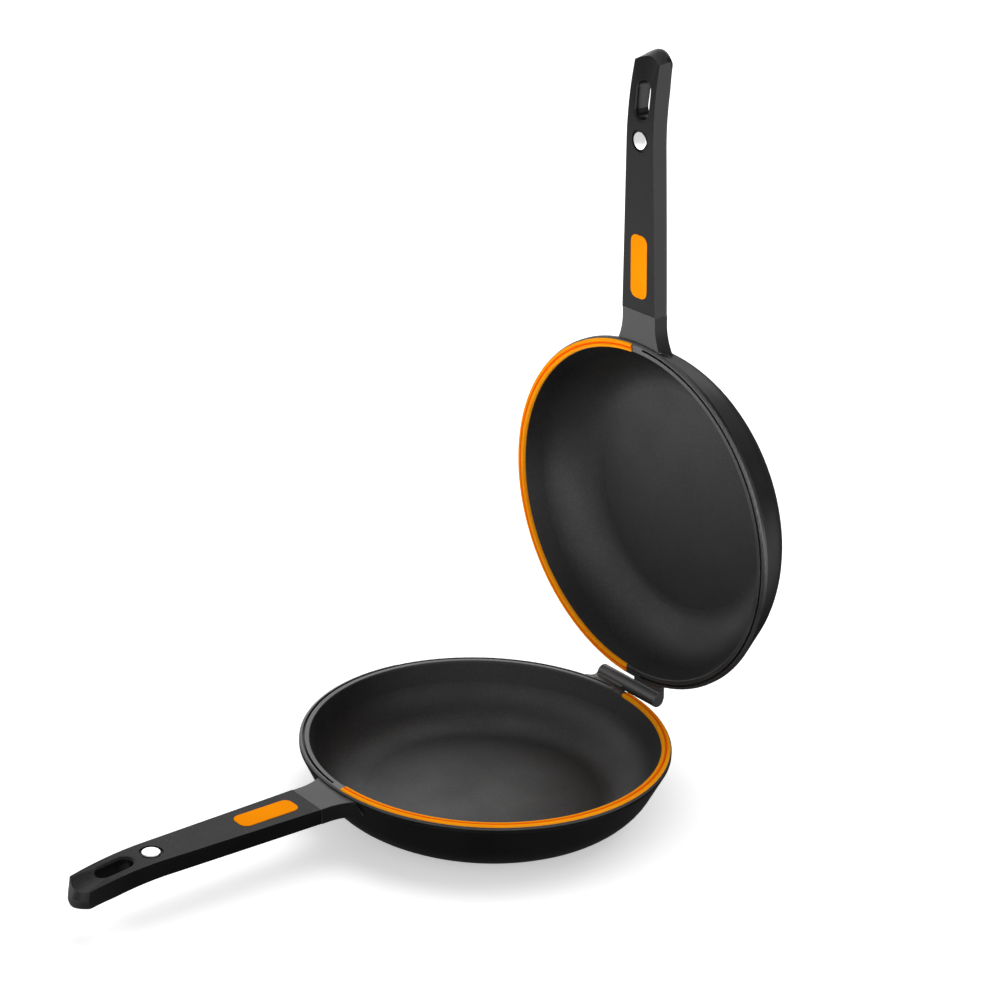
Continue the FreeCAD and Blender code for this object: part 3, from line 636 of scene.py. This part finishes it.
# The inserts: orange plates with round corners, pressed in the face of each grip, a hair proud of it.
insert_near = 152.6 * mm
insert_length = 42.4 * mm
insert_half = 7.5 * mm
insert_corner = 5.2 * mm
insert_low = -4.0 * mm
insert_high = -2.1 * mm
insert_edge = 0.35 * mm
edge_steps = 3
plate_smooth = 40
insert_grain, insert_pit, insert_rough = 0.4 * mm, 0.01 * mm, (0.34, 0.42)
insert_tone, insert_light_tone = (0.95, 0.27, 0.003, 1), (1.0, 0.31, 0.004, 1)
insert_rubbed_width, insert_rubbed_tone = 0.3 * mm, (1.0, 0.45, 0.08, 1)


def orange_plastic(half):
    work = Finish("orange plastic", half)
    tree = work.tree
    fine = work.grain(insert_grain)
    tone = blend(tree, fine["Broad"], insert_tone, insert_light_tone)
    tone = blend(tree, work.wear(insert_rubbed_width), tone, insert_rubbed_tone)
    work.set(Base_Color=tone, Roughness=between(tree, fine["Broad"], *insert_rough), Specular_IOR_Level=0.0)
    work.bump(fine["Height"], insert_pit)
    return work.paint


bpy.ops.object.select_all(action="DESELECT")
bpy.ops.mesh.primitive_cube_add(size=1, location=(-insert_near - insert_length / 2, 0,
                                                  (insert_low + insert_high) / 2))
plate_model = bpy.context.object
plate_model.scale = (insert_length, 2 * insert_half, insert_high - insert_low)
bpy.ops.object.transform_apply(location=True, rotation=True, scale=True)
bevel_picked(plate_model, upright, insert_corner, corner_steps)
bevel_picked(plate_model, lambda first, last: min(first.z, last.z) > insert_high - nearly, insert_edge,
             edge_steps)
for half in halves:
    plate = copy_of(plate_model, half + "_orange_plate", half, plate_smooth)
    plate.data.materials.append(orange_plastic(half))
    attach(plate, half + "_half")
    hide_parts(half + "_insert")
bpy.data.objects.remove(plate_model)


# The magnets: polished plated discs, set in the face beyond each insert.
magnet_x = 256.7 * mm
magnet_radius = 5.8 * mm
magnet_low = -5.7 * mm
magnet_high = -2.2 * mm
magnet_round = 0.5 * mm
magnet_sides, magnet_round_steps = 96, 5
magnet_grain, magnet_pit, magnet_rough = 0.8 * mm, 0.003 * mm, (0.10, 0.16)
plated_tones, scratch_width, scratch_share, scratch_tone = (0.86, 0.92), 0.3 * mm, 0.5, 0.6


def polished(half):
    work = Finish("polished magnet", half)
    tree = work.tree
    fine = work.grain(magnet_grain)
    tone = greys(tree, fine["Broad"], plated_tones)
    tone = blend(tree, work.both(work.wear(scratch_width), scratch_share), tone, grey(scratch_tone))
    work.set(Base_Color=tone, Metallic=1.0, Roughness=between(tree, fine["Broad"], *magnet_rough))
    work.bump(fine["Height"], magnet_pit)
    return work.paint


bpy.ops.object.select_all(action="DESELECT")
bpy.ops.mesh.primitive_cylinder_add(vertices=magnet_sides, radius=magnet_radius, depth=magnet_high - magnet_low,
                                    location=(-magnet_x, 0, (magnet_low + magnet_high) / 2))
disc_model = bpy.context.object
bpy.ops.object.transform_apply(location=True, rotation=True, scale=True)
bevel_picked(disc_model, lambda first, last: min(first.z, last.z) > magnet_high - nearly, magnet_round,
             magnet_round_steps)
for half in halves:
    disc = copy_of(disc_model, half + "_magnet_disc", half, plate_smooth)
    disc.data.materials.append(polished(half))
    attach(disc, half + "_half")
    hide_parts(half + "_magnet")
bpy.data.objects.remove(disc_model)


# The steel pieces: base discs turned in rings, screws and washers, sleeves and pin, bright and a little dulled.
steel_grain, steel_pit, steel_rough = 0.5 * mm, 0.008 * mm, (0.26, 0.38)
streak_scale, streak_bend, streak_share = 600.0, 0.6, 0.5
steel_rubbed_width, steel_rubbed_tone = 0.3 * mm, 0.7
base_tones, screw_tones, bush_tones, pin_tones = (0.42, 0.5), (0.35, 0.45), (0.4, 0.5), (0.45, 0.55)


def steel(half, name, tones, rings=False):
    work = Finish(name, half)
    tree = work.tree
    fine = work.grain(steel_grain)
    streak = add(tree, "ShaderNodeTexWave", {"Vector": work.place, "Scale": streak_scale,
                                             "Distortion": streak_bend, "Detail": 3.0},
                 wave_type="RINGS" if rings else "BANDS", rings_direction="Z").outputs["Fac"]
    tone = greys(tree, fine["Broad"], tones)
    tone = blend(tree, work.wear(steel_rubbed_width), tone, grey(steel_rubbed_tone))
    work.set(Base_Color=tone, Metallic=1.0, Roughness=between(tree, streak, *steel_rough))
    work.bump(calc(tree, "ADD", work.both(streak, streak_share), fine["Height"]), steel_pit)
    return work.paint


for half in halves:
    dress(half + "_base_disc", steel(half, "base steel", base_tones, rings=True))
    screw_steel = steel(half, "screw steel", screw_tones)
    dress(half + "_grip_screws", screw_steel)
    dress(half + "_screw_washers", screw_steel)
    dress(half + "_hinge_bush", steel(half, "bush steel", bush_tones))
dress("hinge_pin", steel("lower", "pin steel", pin_tones))


# The place where the pan stands: a plain pale floor, large enough to fill the view. It is a white sheet to the
# eye.
# To every other ray it is painted light: it glows like a lamp, with painted shade close to the pan, which would
# shade it, bright further out, a painted dark side beyond the hinge, a dimmer one far off at the back left, and
# more glow for diffuse rays.
floor_half = 30.0
shade_middle = (0.05, 0.0, 0.0)
shade_near, shade_far = 0.3, 0.75
near_glow, far_glow, onto_matt = 0.05, 2.9, 0.5
darker_way, darker_from, darker_full, darker_share = (0.9, 0.43, 0.0), 0.45, 0.85, 0.02
dimmer_way, dimmer_from, dimmer_full, dimmer_share = (-0.74, 0.67, 0.0), 0.4, 0.8, 0.25
dimmer_near, dimmer_far = 0.8, 1.05
sheet_glow, sheet_white = 0.45, 0.9
bpy.ops.object.select_all(action="DESELECT")
bpy.ops.mesh.primitive_plane_add(size=2 * floor_half)
floor = bpy.context.object
floor.name = "floor"
floor_paint = bpy.data.materials.new("pale floor")
floor_paint.use_nodes = True
paper = floor_paint.node_tree
paper.nodes.clear()
here = add(paper, "ShaderNodeTexCoord").outputs["Object"]
away = compare(paper, "DISTANCE", here, shade_middle)
outward = add(paper, "ShaderNodeVectorMath", {0: here, 1: shade_middle}, operation="SUBTRACT").outputs[0]
outward = add(paper, "ShaderNodeVectorMath", {0: outward}, operation="NORMALIZE").outputs[0]
glow = spread(paper, away, shade_near, shade_far, near_glow, far_glow)
painted_dark_side = spread(paper, compare(paper, "DOT_PRODUCT", outward, darker_way), darker_from, darker_full)
glow = calc(paper, "MULTIPLY", glow, between(paper, painted_dark_side, 1.0, darker_share))
painted_dim_side = spread(paper, compare(paper, "DOT_PRODUCT", outward, dimmer_way), dimmer_from, dimmer_full)
far_there = calc(paper, "MULTIPLY", painted_dim_side, spread(paper, away, dimmer_near, dimmer_far))
glow = calc(paper, "MULTIPLY", glow, between(paper, far_there, 1.0, dimmer_share))
rays = add(paper, "ShaderNodeLightPath").outputs
glow = calc(paper, "ADD", glow, calc(paper, "MULTIPLY", rays["Is Diffuse Ray"], onto_matt))
# The floor's emission for all but camera rays is painted light, including its painted shade near the pan.
painted_light_to_pan = add(paper, "ShaderNodeEmission", {"Strength": glow})
to_eye = add(paper, "ShaderNodeAddShader", {
    0: add(paper, "ShaderNodeEmission", {"Color": grey(sheet_glow)}).outputs[0],
    1: add(paper, "ShaderNodeBsdfDiffuse", {"Color": grey(sheet_white)}).outputs[0]})
choose = add(paper, "ShaderNodeMixShader", {0: rays["Is Camera Ray"], 1: painted_light_to_pan.outputs[0], 2: to_eye.outputs[0]})
add(paper, "ShaderNodeOutputMaterial", {"Surface": choose.outputs[0]})
floor.data.materials.append(floor_paint)

# The room: a white sweep of backdrop all round, up to a dimmer ceiling and down to a darker foot. It is
# dimmer on the hinge's side too.
sweep_light, ceiling_light = 1.15, 0.22
sweep_top, ceiling_from = 0.3, 0.8
foot_low, foot_high, foot_share = 0.04, 0.32, 0.12
hinge_side_from, hinge_side_full, hinge_side_share = 0.7, 0.92, 0.25
world = bpy.data.worlds.new("room")
bpy.context.scene.world = world
world.use_nodes = True
sky = world.node_tree
direction = add(sky, "ShaderNodeSeparateXYZ", {0: add(sky, "ShaderNodeTexCoord").outputs["Generated"]}).outputs
room = sky.nodes["Background"]
room.inputs["Color"].default_value = (1, 1, 1, 1)
sweep = spread(sky, direction["Z"], sweep_top, ceiling_from, sweep_light, ceiling_light)
sweep = calc(sky, "MULTIPLY", sweep, spread(sky, direction["Z"], foot_low, foot_high, foot_share, 1.0))
level = add(sky, "ShaderNodeCombineXYZ", {"X": direction["X"], "Y": direction["Y"]}).outputs[0]
level = add(sky, "ShaderNodeVectorMath", {0: level}, operation="NORMALIZE").outputs[0]
ahead = add(sky, "ShaderNodeSeparateXYZ", {0: level}).outputs["X"]
sweep = calc(sky, "MULTIPLY", sweep, spread(sky, ahead, hinge_side_from, hinge_side_full, 1.0, hinge_side_share))
sky.links.new(sweep, room.inputs["Strength"])

# The camera, where the photographer's was: its place and its turn, with a long lens.
camera_data = bpy.data.cameras.new("camera")
camera_data.sensor_width = 36.0
camera_data.lens = 95.599
camera_data.clip_end = 100.0
camera = bpy.data.objects.new("camera", camera_data)
bpy.context.scene.collection.objects.link(camera)
camera_place = Vector((-0.998572, -1.18645, 0.840692))
camera_azimuth, camera_height, camera_roll = -40.172, 22.087, 2.576
turn = Matrix.Rotation(math.radians(camera_azimuth), 4, "Z")
turn = turn @ Matrix.Rotation(math.radians(90 - camera_height), 4, "X")
turn = turn @ Matrix.Rotation(math.radians(camera_roll), 4, "Z")
camera.matrix_world = Matrix.Translation(camera_place) @ turn
bpy.context.scene.camera = camera

# Studio lights: soft boxes, each aimed at the middle of the open pan.
aim = Vector((0.05, 0.0, 0.15))


def soft_box(name, place, width, height, power):
    data = bpy.data.lights.new(name, "AREA")
    data.shape = "RECTANGLE"
    data.size, data.size_y = width, height
    data.energy = power
    light = bpy.data.objects.new(name, data)
    bpy.context.scene.collection.objects.link(light)
    place = Vector(place)
    light.matrix_world = Matrix.Translation(place) @ (aim - place).to_track_quat("-Z", "Y").to_matrix().to_4x4()


soft_box("top box", (0.5, 0.5, 1.8), 1.6, 1.6, 8)
soft_box("back box", (1.5, 1.8, 1.3), 3.0, 1.4, 9)

# A broad even light from far above, left out of reflections.
overhead_data = bpy.data.lights.new("overhead", "SUN")
overhead_data.energy = 1.3
overhead_data.angle = math.radians(60)
overhead = bpy.data.objects.new("overhead", overhead_data)
overhead.visible_glossy = False
overhead.rotation_euler.y = math.radians(25)
bpy.context.scene.collection.objects.link(overhead)
